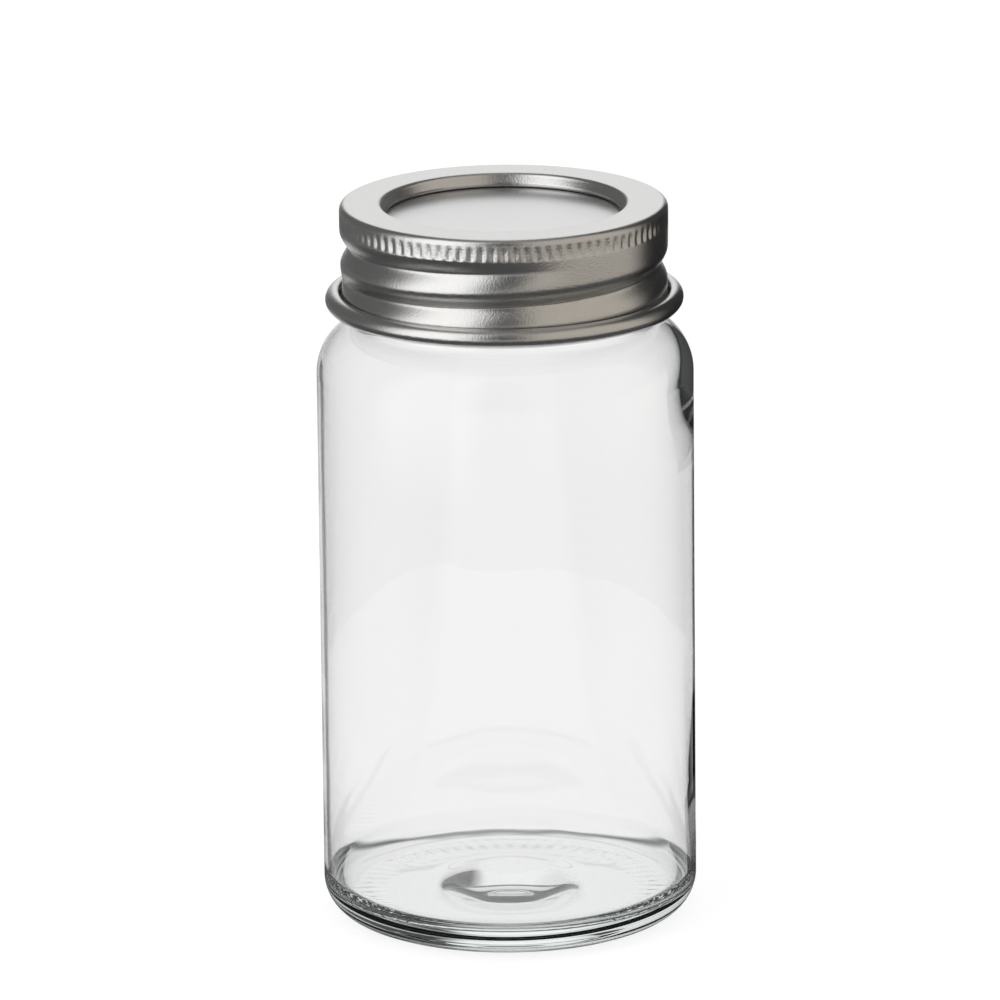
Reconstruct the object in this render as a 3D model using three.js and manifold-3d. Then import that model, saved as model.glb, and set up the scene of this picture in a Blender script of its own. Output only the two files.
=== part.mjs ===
// Screw-top spice jar: a clear glass jar, a pressed steel screw ring, a loose steel disc and a sealing ring.
// Millimetres, +Z up, the base centre is the origin, and the front of the jar faces -Y.
import * as THREE from 'three';
import { mergeVertices } from 'three/addons/utils/BufferGeometryUtils.js';
import Module from 'manifold-3d';

const wasm = await Module();
wasm.setup();

// Overall
const OVERALL_HEIGHT = 105.0;
const BODY_RADIUS = 27.0;

// Glass
const WALL = 1.0;
const NECK_WALL = 1.5;
const LIP_ROUND = 0.5;
const SHOULDER_RADIUS = 8.2;
const SHOULDER_TO_LID = 1.3;
const NECK_FILLET = 1.2;
const BORE_ROUND = 2.6;
const HEEL_RADIUS = 5.2;
const INNER_HEEL_RADIUS = 3.0;
const BEARING_WIDTH = 2.0;
const BASE_THICKNESS = 3.9;
const HOLLOW_DEPTH = 0.25;
const BOSS_RADIUS = 12.3;
const BOSS_TOP_RADIUS = 3.0;
const BOSS_HEIGHT = 1.8;

// Steel ring
const SHEET = 0.4;
const LID_HEIGHT = 15.35;
const LID_EDGE_ROUND = 0.9;
const RECESS_RADIUS = 17.3;
const RECESS_DEPTH = 1.9;
const RECESS_LEAN = 0.6;
const RECESS_ROUND = 0.7;
const COLLAR_TUCK = 0.12;
const COLLAR_TUCK_HEIGHT = 0.4;
const CURL_RADIUS = 1.35;
const CURL_SWEEP_DEGREES = 285;
const SKIRT_STEP = 0.15;

// Rolled thread, right-handed; angles run anticlockwise from +X, seen from above
const PITCH = 5.0;
const THREAD_DEPTH = 1.2;
const THREAD_WIDTH = 5.2;
const THREAD_MIDDLE_DEGREES = 402;
const THREAD_SWEEP_DEGREES = 475;
const THREAD_FADE_DEGREES = 60;
const THREAD_LIFT = 0.75;

// Moulded glass thread
const GLASS_THREAD_MIDDLE_DEGREES = 270;
const GLASS_THREAD_SWEEP_DEGREES = 390;
const GLASS_THREAD_FADE_DEGREES = 40;
const GLASS_THREAD_BASE = 2.6;
const GLASS_THREAD_CREST = 0.9;
const GLASS_THREAD_ROOT = 0.6;

// Knurled band
const FLUTES = 94;
const FLUTE_DEPTH = 0.17;
const FLUTE_DROP = 1.1;
const FLUTE_LENGTH = 2.2;
const FLUTE_RUN_OUT = 0.3;

// Disc and seal
const DISC_FOLD = 0.4;
const GASKET_THICKNESS = 1.0;
const GASKET_ROUND = 0.2;

// Clearances
const SEAT_GAP = 0.1;
const SLIP_GAP = 0.25;
const MOUTH_GAP = 1.5;
const THREAD_GAP = 0.35;

// Facets
const COLUMNS = 48;
const RING_COLUMNS = 52;
const SKIRT_ROWS = 12;
const ARC_STEPS = 3;
const FOLD_STEPS = 1;
const FILLET_STEPS = 2;
const WIDE_ARC_STEPS = 5;
const CURL_STEPS = 8;
const THREAD_STEPS = 48;
const CUT_MARGIN = 0.04;
const CUT_DEPTH = 1.0;

// Radii, from the recess in the lid outwards to the knurled band
const collarOutside = RECESS_RADIUS + SHEET;
const stepInside = collarOutside + SLIP_GAP;
const stepOutside = stepInside + SHEET;
const boreRadius = stepOutside + MOUTH_GAP;
const neckRadius = boreRadius + NECK_WALL;
const ridgeInside = neckRadius + THREAD_GAP;
const skirtInside = ridgeInside + THREAD_DEPTH;
const crestRadius = skirtInside - THREAD_GAP;
const skirtRadius = skirtInside + SHEET;
const bandRadius = skirtRadius + SKIRT_STEP;
const marginRadius = skirtInside - SLIP_GAP - SKIRT_STEP;
const gasketInside = stepOutside + SLIP_GAP;
const gasketOutside = marginRadius - SHEET - SLIP_GAP;

// Heights, from the top of the lid down
const marginTop = OVERALL_HEIGHT - SHEET - SEAT_GAP;
const gasketTop = marginTop - SHEET - SEAT_GAP;
const gasketUnder = gasketTop - GASKET_THICKNESS;
const rimTop = gasketUnder - SEAT_GAP;
const collarFoot = OVERALL_HEIGHT - RECESS_DEPTH;
const panelTop = collarFoot - SEAT_GAP;
const fluteTop = OVERALL_HEIGHT - FLUTE_DROP;
const fluteFoot = fluteTop - FLUTE_LENGTH;
const bandFoot = fluteFoot - FLUTE_RUN_OUT;
const lidBottom = OVERALL_HEIGHT - LID_HEIGHT;
const curlCentre = lidBottom + CURL_RADIUS;
const threadMiddle = (bandFoot + curlCentre + CURL_RADIUS) / 2 + THREAD_LIFT;
const shoulderTop = lidBottom - SHOULDER_TO_LID;

const radians = (degrees) => degrees * Math.PI / 180;
const degreesOf = (angle) => angle * 180 / Math.PI;

function smooth(value) {
  const t = Math.min(1, Math.max(0, value));
  return t * t * (3 - 2 * t);
}

function arc(centreR, centreZ, radius, from, to, steps) {
  return Array.from({ length: steps + 1 }, (unused, i) => {
    const angle = radians(from + (to - from) * i / steps);
    return [centreR + radius * Math.cos(angle), centreZ + radius * Math.sin(angle)];
  });
}

// Both faces of a sheet that follows a path in the section plane, as one closed loop
function sheetLoop(path) {
  const left = [];
  const right = [];
  path.forEach(([r, z], i) => {
    const [rBefore, zBefore] = path[Math.max(0, i - 1)];
    const [rAfter, zAfter] = path[Math.min(path.length - 1, i + 1)];
    const length = Math.hypot(rAfter - rBefore, zAfter - zBefore);
    const acrossR = (zBefore - zAfter) / length * SHEET / 2;
    const acrossZ = (rAfter - rBefore) / length * SHEET / 2;
    left.push([r + acrossR, z + acrossZ]);
    right.push([r - acrossR, z - acrossZ]);
  });
  return left.concat(right.reverse());
}

function signedVolume(positions, triangles) {
  const corner = (i) => new THREE.Vector3().fromArray(positions, 3 * triangles[i]);
  let sum = 0;
  for (let i = 0; i < triangles.length; i += 3) {
    sum += corner(i).dot(corner(i + 1).cross(corner(i + 2)));
  }
  return sum / 6;
}

// An indexed geometry whose faces point out
function shell(positions, triangles) {
  const geometry = new THREE.BufferGeometry();
  geometry.setAttribute('position', new THREE.Float32BufferAttribute(positions, 3));
  geometry.setIndex(signedVolume(positions, triangles) < 0 ? triangles.reverse() : triangles);
  return geometry;
}

// Sections of equal length joined one to the next, each a list of [radius, height] at its own angle;
// the run closes on itself, or it ends in two flat caps
function joinSections(sections, angles, closed) {
  const rows = sections[0].length;
  const count = sections.length;
  const positions = sections.flatMap((section, j) => section.flatMap(([r, z]) => {
    const angle = radians(angles[j]);
    return [r * Math.cos(angle), r * Math.sin(angle), z];
  }));
  const triangles = [];
  for (let j = 0; j < (closed ? count : count - 1); j += 1) {
    const next = (j + 1) % count;
    for (let i = 0; i < rows; i += 1) {
      const up = (i + 1) % rows;
      const corners = [j * rows + i, next * rows + i, next * rows + up, j * rows + up];
      triangles.push(corners[0], corners[1], corners[2], corners[0], corners[2], corners[3]);
    }
  }
  const last = (count - 1) * rows;
  for (let i = 1; !closed && i < rows - 1; i += 1) {
    triangles.push(0, i, i + 1, last, last + i + 1, last + i);
  }
  return shell(positions, triangles);
}

function roundSweep(columns, section) {
  const angles = Array.from({ length: columns }, (unused, j) => 360 * j / columns);
  return joinSections(angles.map(section), angles, true);
}

// A solid turned from a profile that starts and ends on the axis
function turned(profile) {
  const lathe = new THREE.LatheGeometry(profile.map(([r, z]) => new THREE.Vector2(r, z)), COLUMNS);
  lathe.deleteAttribute('normal');
  lathe.deleteAttribute('uv');
  lathe.rotateX(Math.PI / 2);
  const merged = mergeVertices(lathe, 1e-4);
  const index = merged.index.array;
  const triangles = [];
  for (let i = 0; i < index.length; i += 3) {
    const [a, b, c] = index.slice(i, i + 3);
    if (a !== b && b !== c && a !== c) {
      triangles.push(a, b, c);
    }
  }
  return shell(Array.from(merged.attributes.position.array), triangles);
}

function toSolid(geometry) {
  return new wasm.Manifold(new wasm.Mesh({
    numProp: 3,
    vertProperties: new Float32Array(geometry.attributes.position.array),
    triVerts: new Uint32Array(geometry.index.array),
  }));
}

function toGeometry(solid) {
  const mesh = solid.getMesh();
  return shell(Array.from(mesh.vertProperties), Array.from(mesh.triVerts));
}

// The one helix that the ring's rolled groove and the glass thread both follow
const threadHeight = (degrees) => threadMiddle + PITCH * (degrees - THREAD_MIDDLE_DEGREES) / 360;

// How fully a thread is formed at an angle: it fades in and out at its two ends
function fullness(degrees, middle, sweep, fade) {
  return smooth((sweep / 2 - Math.abs(degrees - middle)) / fade);
}

// How far the rolled groove presses the skirt inwards
function threadPress(degrees, z) {
  let press = 0;
  for (let turn = 0; turn < 3; turn += 1) {
    const angle = degrees + 360 * turn;
    const away = Math.abs(z - threadHeight(angle)) / THREAD_WIDTH;
    if (away < 0.5) {
      const full = fullness(angle, THREAD_MIDDLE_DEGREES, THREAD_SWEEP_DEGREES, THREAD_FADE_DEGREES);
      press += full * (1 + Math.cos(2 * Math.PI * away)) / 2;
    }
  }
  return THREAD_DEPTH * Math.min(1, press);
}

// The ring's sheet: recess collar, flat flange, knurled band, threaded skirt and outward curl
function ringSection(degrees) {
  const half = SHEET / 2;
  const top = OVERALL_HEIGHT - half;
  const collar = RECESS_RADIUS + half;
  const fold = RECESS_ROUND - half;
  const edge = LID_EDGE_ROUND - half;
  const band = bandRadius - half;
  const skirt = skirtRadius - half;
  const curl = CURL_RADIUS - half;
  const path = [
    [collar - RECESS_LEAN + COLLAR_TUCK, collarFoot],
    [collar - RECESS_LEAN, collarFoot + COLLAR_TUCK_HEIGHT],
    ...arc(collar + fold, top - fold, fold, 160, 90, ARC_STEPS),
    ...arc(band - edge, top - edge, edge, 90, 0, ARC_STEPS),
    [band, bandFoot],
  ];
  for (let row = 1; row <= SKIRT_ROWS; row += 1) {
    const z = bandFoot + (curlCentre - bandFoot) * row / SKIRT_ROWS;
    const plain = band + (skirt - band) * smooth((bandFoot - z) / PITCH);
    path.push([plain - threadPress(degrees, z), z]);
  }
  path.push(...arc(skirt + curl, curlCentre, curl, 180, 180 + CURL_SWEEP_DEGREES, CURL_STEPS).slice(1));
  return sheetLoop(path);
}

function fluteCutter() {
  const clear = bandRadius + CUT_MARGIN;
  const outside = bandRadius + CUT_DEPTH;
  return roundSweep(FLUTES * 2, (degrees) => {
    const inFlute = Math.round(degrees * FLUTES / 180) % 2 === 0;
    const floor = inFlute ? bandRadius - FLUTE_DEPTH : clear;
    return [
      [clear, fluteFoot], [floor, fluteFoot + FLUTE_RUN_OUT],
      [floor, fluteTop - FLUTE_RUN_OUT], [clear, fluteTop],
      [outside, fluteTop], [outside, fluteFoot],
    ];
  });
}

function screwRing() {
  const plain = toSolid(roundSweep(RING_COLUMNS, ringSection));
  return toGeometry(plain.subtract(toSolid(fluteCutter())));
}

// A flat panel in the mouth, a step up round the ring's collar, a margin over the seal and a turned-down lip
function lidDisc() {
  const panel = panelTop - SHEET / 2;
  const margin = marginTop - SHEET / 2;
  const step = stepInside + SHEET / 2;
  const lip = marginRadius - SHEET / 2;
  return turned(sheetLoop([
    [0, panel],
    ...arc(step - DISC_FOLD, panel + DISC_FOLD, DISC_FOLD, -90, 0, FOLD_STEPS),
    ...arc(step + DISC_FOLD, margin - DISC_FOLD, DISC_FOLD, 180, 90, FOLD_STEPS),
    ...arc(lip - DISC_FOLD, margin - DISC_FOLD, DISC_FOLD, 90, 0, FOLD_STEPS),
    [lip, gasketUnder],
  ]));
}

function sealingRing() {
  const inside = gasketInside + GASKET_ROUND;
  const outside = gasketOutside - GASKET_ROUND;
  const low = gasketUnder + GASKET_ROUND;
  const high = gasketTop - GASKET_ROUND;
  return roundSweep(COLUMNS, () => [
    [gasketInside, low], [inside, gasketUnder], [outside, gasketUnder], [gasketOutside, low],
    [gasketOutside, high], [outside, gasketTop], [inside, gasketTop], [gasketInside, high],
  ]);
}

// The shallow hollow under the base, from the axis out to the ring that the jar stands on
function underside(bearingInside) {
  return Array.from({ length: ARC_STEPS + 1 }, (unused, i) => {
    const t = i / ARC_STEPS;
    return [bearingInside * t, HOLLOW_DEPTH * (1 - t * t)];
  });
}

// The inside floor from the foot of its boss to the axis
function boss() {
  const rise = Array.from({ length: ARC_STEPS + 1 }, (unused, i) => {
    const t = i / ARC_STEPS;
    return [BOSS_RADIUS + (BOSS_TOP_RADIUS - BOSS_RADIUS) * t, BASE_THICKNESS + BOSS_HEIGHT * smooth(t)];
  });
  return [...rise, [0, BASE_THICKNESS + BOSS_HEIGHT]];
}

// The fillet between the shoulder's arc and an upright wall above it, and the angle where it meets the arc
function filletAbove(wallRadius, fillet, centreR, centreZ, radius) {
  const across = wallRadius + fillet - centreR;
  const up = Math.sqrt((radius + fillet) ** 2 - across ** 2);
  return { r: wallRadius + fillet, z: centreZ + up, meets: degreesOf(Math.atan2(up, across)) };
}

function glassBody() {
  const inside = BODY_RADIUS - WALL;
  const bearingOutside = BODY_RADIUS - HEEL_RADIUS;
  const bearingInside = bearingOutside - BEARING_WIDTH;
  const floorRadius = inside - INNER_HEEL_RADIUS;
  const shoulder = shoulderTop - SHOULDER_RADIUS;
  const shoulderCentre = BODY_RADIUS - SHOULDER_RADIUS;
  const innerShoulder = SHOULDER_RADIUS - WALL;
  const neck = filletAbove(neckRadius, NECK_FILLET, shoulderCentre, shoulder, SHOULDER_RADIUS);
  const bore = filletAbove(boreRadius, BORE_ROUND, shoulderCentre, shoulder, innerShoulder);
  return turned([
    ...underside(bearingInside),
    ...arc(bearingOutside, HEEL_RADIUS, HEEL_RADIUS, -90, 0, WIDE_ARC_STEPS),
    ...arc(shoulderCentre, shoulder, SHOULDER_RADIUS, 0, neck.meets, WIDE_ARC_STEPS),
    ...arc(neck.r, neck.z, NECK_FILLET, neck.meets + 180, 180, FILLET_STEPS).slice(1),
    ...arc(neckRadius - LIP_ROUND, rimTop - LIP_ROUND, LIP_ROUND, 0, 90, FILLET_STEPS),
    ...arc(boreRadius + LIP_ROUND, rimTop - LIP_ROUND, LIP_ROUND, 90, 180, FILLET_STEPS),
    ...arc(bore.r, bore.z, BORE_ROUND, 180, bore.meets + 180, FILLET_STEPS),
    ...arc(shoulderCentre, shoulder, innerShoulder, bore.meets, 0, ARC_STEPS).slice(1),
    ...arc(floorRadius, BASE_THICKNESS + INNER_HEEL_RADIUS, INNER_HEEL_RADIUS, 0, -90, ARC_STEPS),
    ...boss(),
  ]);
}

// The ridge that the ring hooks under: it lies just above the ring's own thread all the way round
function glassThread() {
  const rise = PITCH / 2 - SLIP_GAP;
  const root = neckRadius - GLASS_THREAD_ROOT;
  const buried = neckRadius - GLASS_THREAD_ROOT / 2;
  const first = GLASS_THREAD_MIDDLE_DEGREES - GLASS_THREAD_SWEEP_DEGREES / 2;
  const angles = Array.from({ length: THREAD_STEPS + 1 }, (unused, j) =>
    first + GLASS_THREAD_SWEEP_DEGREES * j / THREAD_STEPS);
  const sections = angles.map((degrees) => {
    const full = fullness(
      degrees, GLASS_THREAD_MIDDLE_DEGREES, GLASS_THREAD_SWEEP_DEGREES, GLASS_THREAD_FADE_DEGREES);
    const crest = buried + (crestRadius - buried) * full;
    const z = threadHeight(degrees) + rise;
    return [
      [root, z - GLASS_THREAD_BASE / 2], [buried, z - GLASS_THREAD_BASE / 2],
      [crest, z - GLASS_THREAD_CREST / 2], [crest, z + GLASS_THREAD_CREST / 2],
      [buried, z + GLASS_THREAD_BASE / 2], [root, z + GLASS_THREAD_BASE / 2],
    ];
  });
  return joinSections(sections, angles, false);
}

function glassJar() {
  return toGeometry(toSolid(glassBody()).add(toSolid(glassThread())));
}

const clearGlass = new THREE.MeshStandardMaterial({
  color: 0xe9eeec, roughness: 0.04, metalness: 0, transparent: true, opacity: 0.35,
});
const satinSteel = new THREE.MeshStandardMaterial({ color: 0xb9b6b0, roughness: 0.36, metalness: 1 });
const discSteel = new THREE.MeshStandardMaterial({ color: 0xc4c4c4, roughness: 0.28, metalness: 1 });
const sealRubber = new THREE.MeshStandardMaterial({ color: 0xd9d7d0, roughness: 0.75, metalness: 0 });

const group = new THREE.Group();
group.name = 'spice_jar';

function addPiece(name, geometry, material) {
  geometry.computeVertexNormals();
  const mesh = new THREE.Mesh(geometry, material);
  mesh.name = name;
  group.add(mesh);
}

addPiece('glass_jar', glassJar(), clearGlass);
addPiece('screw_ring', screwRing(), satinSteel);
addPiece('lid_disc', lidDisc(), discSteel);
addPiece('sealing_ring', sealingRing(), sealRubber);

export default group;
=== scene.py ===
"""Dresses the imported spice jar: clear glass, a steel screw ring, a steel disc and a soft seal."""
import math

import bmesh
import bpy
from mathutils import Matrix, Vector


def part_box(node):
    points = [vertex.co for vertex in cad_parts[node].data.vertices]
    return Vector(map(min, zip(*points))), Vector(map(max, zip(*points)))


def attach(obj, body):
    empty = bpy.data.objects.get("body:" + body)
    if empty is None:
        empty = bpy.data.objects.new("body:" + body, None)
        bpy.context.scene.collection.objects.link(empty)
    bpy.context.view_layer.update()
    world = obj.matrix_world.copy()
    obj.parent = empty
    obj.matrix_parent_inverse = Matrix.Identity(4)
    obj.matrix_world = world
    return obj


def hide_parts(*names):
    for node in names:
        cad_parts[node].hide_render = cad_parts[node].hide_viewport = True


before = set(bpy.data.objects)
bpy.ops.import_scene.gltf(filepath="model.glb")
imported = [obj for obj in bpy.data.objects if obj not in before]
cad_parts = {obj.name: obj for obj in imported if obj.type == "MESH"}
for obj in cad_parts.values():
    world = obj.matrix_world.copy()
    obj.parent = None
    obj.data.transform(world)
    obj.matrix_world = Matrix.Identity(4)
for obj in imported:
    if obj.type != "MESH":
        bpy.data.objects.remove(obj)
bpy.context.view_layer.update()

bl_info = {
    "name": "Spice Jar",
    "version": (1, 0, 0),
    "blender": (4, 5, 0),
    "location": "View3D > Sidebar > Spice Jar",
    "description": "Builds a glass spice jar with a steel screw lid in a plain studio",
    "category": "Object",
}

MM = 0.001
TURN = 2.0 * math.pi
JAR_LOW, JAR_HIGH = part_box("glass_jar")
RING_LOW, RING_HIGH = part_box("screw_ring")
DISC_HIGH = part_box("lid_disc")[1]
SEAL_LOW, SEAL_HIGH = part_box("sealing_ring")


def length(name, default, description):
    return bpy.props.FloatProperty(
        name=name, description=description, default=default, unit="LENGTH", precision=5
    )


def number(name, default, description):
    return bpy.props.FloatProperty(name=name, description=description, default=default)


def count(name, default, description):
    return bpy.props.IntProperty(name=name, description=description, default=default, min=3)


def degrees(name, default, description):
    return bpy.props.FloatProperty(
        name=name, description=description, default=math.radians(default), unit="ROTATION"
    )


def colour(name, default, description):
    return bpy.props.FloatVectorProperty(
        name=name, description=description, default=default, size=3, subtype="COLOR", min=0.0, max=4.0
    )


class JarGlassSizes(bpy.types.PropertyGroup):
    """Sizes of the moulded glass."""

    body_radius: length("Body radius", JAR_HIGH.x, "Outside radius of the straight body")
    rim_height: length("Rim height", JAR_HIGH.z, "Height of the sealing rim")
    wall: length("Wall", 0.75 * MM, "Thickness of the side wall")
    thinning: length("Thinning", 0.45 * MM, "How much thinner the wall is halfway up its right side")
    thickening: length("Thickening", 0.58 * MM, "How much thicker its right side is at the shoulder")
    heel_thickening: length("Heel thickening", 0.15 * MM, "How much thicker its right side is at the heel")
    thin_foot: length("Thin foot", 16.0 * MM, "Height where the thinner stretch starts")
    thin_top: length("Thin top", 76.0 * MM, "Height where the thinner stretch ends")
    heel: length("Heel", 5.2 * MM, "Outside radius of the rounded heel")
    inner_heel: length("Inner heel", 3.0 * MM, "Inside radius where the wall meets the floor")
    bearing_width: length("Bearing width", 2.0 * MM, "Width of the flat ring that the jar stands on")
    base: length("Base", 3.9 * MM, "Thickness of the glass under the floor's edge")
    hollow: length("Hollow", 0.25 * MM, "Height of the shallow hollow inside the bearing ring")
    boss_height: length("Boss height", 1.8 * MM, "Rise of the inside floor at its middle")
    boss_radius: length("Boss radius", 12.3 * MM, "Radius where the floor starts to rise")
    boss_top: length("Boss top", 3.0 * MM, "Radius of the boss's level top")
    shoulder: length("Shoulder", 8.2 * MM, "Outside radius of the rounded shoulder")
    shoulder_top: length("Shoulder top", 88.35 * MM, "Height where the shoulder would be level")
    neck_radius: length("Neck radius", 21.35 * MM, "Radius of the neck between its threads")
    bore_radius: length("Bore radius", 19.85 * MM, "Radius of the mouth")
    neck_fillet: length("Neck fillet", 1.2 * MM, "Hollow fillet where the shoulder meets the neck")
    bore_round: length("Bore round", 2.6 * MM, "Rounding inside, where the bore meets the shoulder")
    lip_round: length("Lip round", 0.5 * MM, "Rounding of the rim's two edges")
    thread_crest: length("Thread crest", 1.2 * MM, "Height of the glass thread above the neck")
    thread_width: length("Thread width", 2.8 * MM, "Width of the glass thread at its foot")
    ribs: count("Ribs", 60, "Number of short ribs round the bearing ring")
    rib_depth: length("Rib depth", 0.045 * MM, "Depth of the hollows between the ribs")
    rib_length: length("Rib length", 6.0 * MM, "Length of each rib with its run-outs")
    rib_radius: length("Rib radius", 20.9 * MM, "Radius of the middle of the ribs")
    columns: count("Columns", 360, "Facets round the glass")


class JarLidSizes(bpy.types.PropertyGroup):
    """Sizes of the pressed steel ring, the disc and the seal."""

    top: length("Top", RING_HIGH.z, "Height of the flat flange")
    bottom: length("Bottom", RING_LOW.z, "Height of the lowest point of the curl")
    sheet: length("Sheet", 0.4 * MM, "Thickness of the steel")
    band_radius: length("Band radius", 23.45 * MM, "Outside radius of the knurled band")
    skirt_radius: length("Skirt radius", 23.3 * MM, "Outside radius of the skirt between its threads")
    edge_round: length("Edge round", 0.9 * MM, "Rounding of the flange's outer edge")
    recess_radius: length("Recess radius", 17.3 * MM, "Radius of the recess at the flange")
    recess_depth: length("Recess depth", 1.9 * MM, "Depth of the collar round the recess")
    recess_lean: length("Recess lean", 0.6 * MM, "How far the collar leans in at its foot")
    recess_round: length("Recess round", 0.7 * MM, "Rounding where the flange turns down into the collar")
    hem: length("Hem", 0.25 * MM, "Middle radius of the hem at the collar's foot")
    curl: length("Curl", 1.35 * MM, "Outside radius of the curl at the skirt's foot")
    curl_sweep: degrees("Curl sweep", 285.0, "How far the curl is rolled")
    flutes: count("Flutes", 94, "Number of pressed flutes in the knurled band")
    flute_depth: length("Flute depth", 0.22 * MM, "Depth of the flutes")
    flute_drop: length("Flute drop", 0.5 * MM, "Distance of the flutes below the flange")
    flute_length: length("Flute length", 2.7 * MM, "Length of the flutes")
    flute_share: number("Flute share", 0.62, "Width of a flute as a share of the spacing")
    columns_per_flute: count("Columns per flute", 5, "Facets round each flute")
    pitch: length("Pitch", 5.0 * MM, "Rise of the thread in one turn")
    thread_depth: length("Thread depth", 1.2 * MM, "Depth of the rolled groove")
    thread_width: length("Thread width", 5.2 * MM, "Width of the rolled groove")
    thread_sharpness: number(
        "Thread sharpness", 0.8, "0 for a rounded groove, 1 for a sharp fold at its bottom"
    )
    thread_height: length("Thread height", 96.885 * MM, "Height of the middle of the thread")
    thread_middle: degrees("Thread middle", 410.0, "Angle of the middle of the thread")
    thread_sweep: degrees("Thread sweep", 496.0, "Angle that the rolled groove covers")
    thread_fade: degrees("Thread fade", 60.0, "Angle over which the groove fades at each end")
    panel_height: length("Panel height", 103.0 * MM, "Height of the disc's flat panel")
    step_radius: length("Step radius", 18.35 * MM, "Outside radius of the disc's step")
    fold: length("Fold", 0.4 * MM, "Middle radius of the disc's folds")


class JarFinishes(bpy.types.PropertyGroup):
    """Colours of the four materials."""

    glass: colour("Glass", (0.997, 0.997, 0.997), "Tint of the glass surface")
    glass_depth: colour("Glass depth", (0.70, 0.87, 0.83), "Colour that thick glass tends to")
    steel_light: colour("Steel, light grain", (0.73, 0.725, 0.715), "Brighter part of the steel's grain")
    steel_dark: colour("Steel, dark grain", (0.61, 0.605, 0.595), "Darker part of the steel's grain")
    disc: colour("Disc", (0.70, 0.70, 0.70), "Colour of the disc's smooth steel")
    seal: colour("Seal", (0.74, 0.73, 0.70), "Colour of the sealing ring")


class JarStudio(bpy.types.PropertyGroup):
    """Camera and surroundings."""

    elevation: degrees("Elevation", 16.03, "Height of the camera above the jar, as an angle")
    distance: length("Distance", 1274.0 * MM, "Distance of the camera from the jar's middle")
    focal: number("Focal length", 318.5, "Focal length in millimetres on a 36 mm sensor")
    roll: degrees("Roll", 0.6, "How far the jar leans to the left in the picture")
    aim_height: length("Aim height", 60.9 * MM, "Height that the picture is centred on")
    aim_side: length("Aim side", -0.93 * MM, "Sideways place that the picture is centred on")
    pivot_height: length("Pivot height", 50.0 * MM, "Height that the camera's distance is measured from")
    floor_radius: length("Floor radius", 700.0 * MM, "Radius of the floor")


class Wire:
    """A node's output that can be used in arithmetic: every operation adds a Math node."""

    def __init__(self, graph, socket):
        self.graph = graph
        self.socket = socket

    def __add__(self, other):
        return self.graph.math("ADD", self, other)

    def __radd__(self, other):
        return self.graph.math("ADD", other, self)

    def __sub__(self, other):
        return self.graph.math("SUBTRACT", self, other)

    def __rsub__(self, other):
        return self.graph.math("SUBTRACT", other, self)

    def __mul__(self, other):
        return self.graph.math("MULTIPLY", self, other)

    def __rmul__(self, other):
        return self.graph.math("MULTIPLY", other, self)

    def __truediv__(self, other):
        return self.graph.math("DIVIDE", self, other)

    def __rtruediv__(self, other):
        return self.graph.math("DIVIDE", other, self)

    def __mod__(self, other):
        return self.graph.math("FLOORED_MODULO", self, other)

    def __abs__(self):
        return self.graph.math("ABSOLUTE", self)


class Graph:
    """One node tree, and the ways to add nodes to it."""

    def __init__(self, tree):
        self.tree = tree
        tree.nodes.clear()

    @staticmethod
    def socket(sockets, key):
        if isinstance(key, int):
            return sockets[key]
        for socket in sockets:
            if socket.enabled and key in (socket.identifier, socket.name):
                return socket
        raise KeyError(key)

    def node(self, kind, inputs=None, stops=None, **settings):
        made = self.tree.nodes.new(kind)
        for name, value in settings.items():
            setattr(made, name, value)
        if stops:
            self.set_stops(made.color_ramp, stops)
        for key, value in (inputs or {}).items():
            socket = self.socket(made.inputs, key)
            if isinstance(value, Wire):
                self.tree.links.new(value.socket, socket)
            else:
                socket.default_value = value
        return made

    @staticmethod
    def set_stops(ramp, stops):
        while len(ramp.elements) < len(stops):
            ramp.elements.new(1.0)
        for element, (position, shade) in zip(ramp.elements, stops):
            element.position = position
            element.color = (*shade, 1.0)

    def get(self, kind, output=0, inputs=None, **settings):
        made = self.node(kind, inputs, **settings)
        return Wire(self, self.socket(made.outputs, output))

    def math(self, operation, *values):
        return self.get("ShaderNodeMath", 0, dict(enumerate(values)), operation=operation)

    def smooth(self, value):
        return self.get("ShaderNodeMapRange", "Result", {"Value": value}, interpolation_type="SMOOTHSTEP")

    def hump(self, away):
        """1 at the middle, falling along a cosine to 0 at half a width away and beyond."""
        near = self.math("MINIMUM", away, 0.5)
        return (self.math("COSINE", near * TURN) + 1.0) * 0.5

    def crease(self, away):
        """1 along a sharp fold at the middle, running out smoothly to 0 at half a width away and beyond."""
        near = self.math("MINIMUM", away, 0.5)
        return 1.0 - self.math("SINE", near * math.pi)

    def mix(self, factor, first, second):
        inputs = {"Factor_Float": factor, "A_Color": first, "B_Color": second}
        return self.get("ShaderNodeMix", "Result_Color", inputs, data_type="RGBA")


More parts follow.
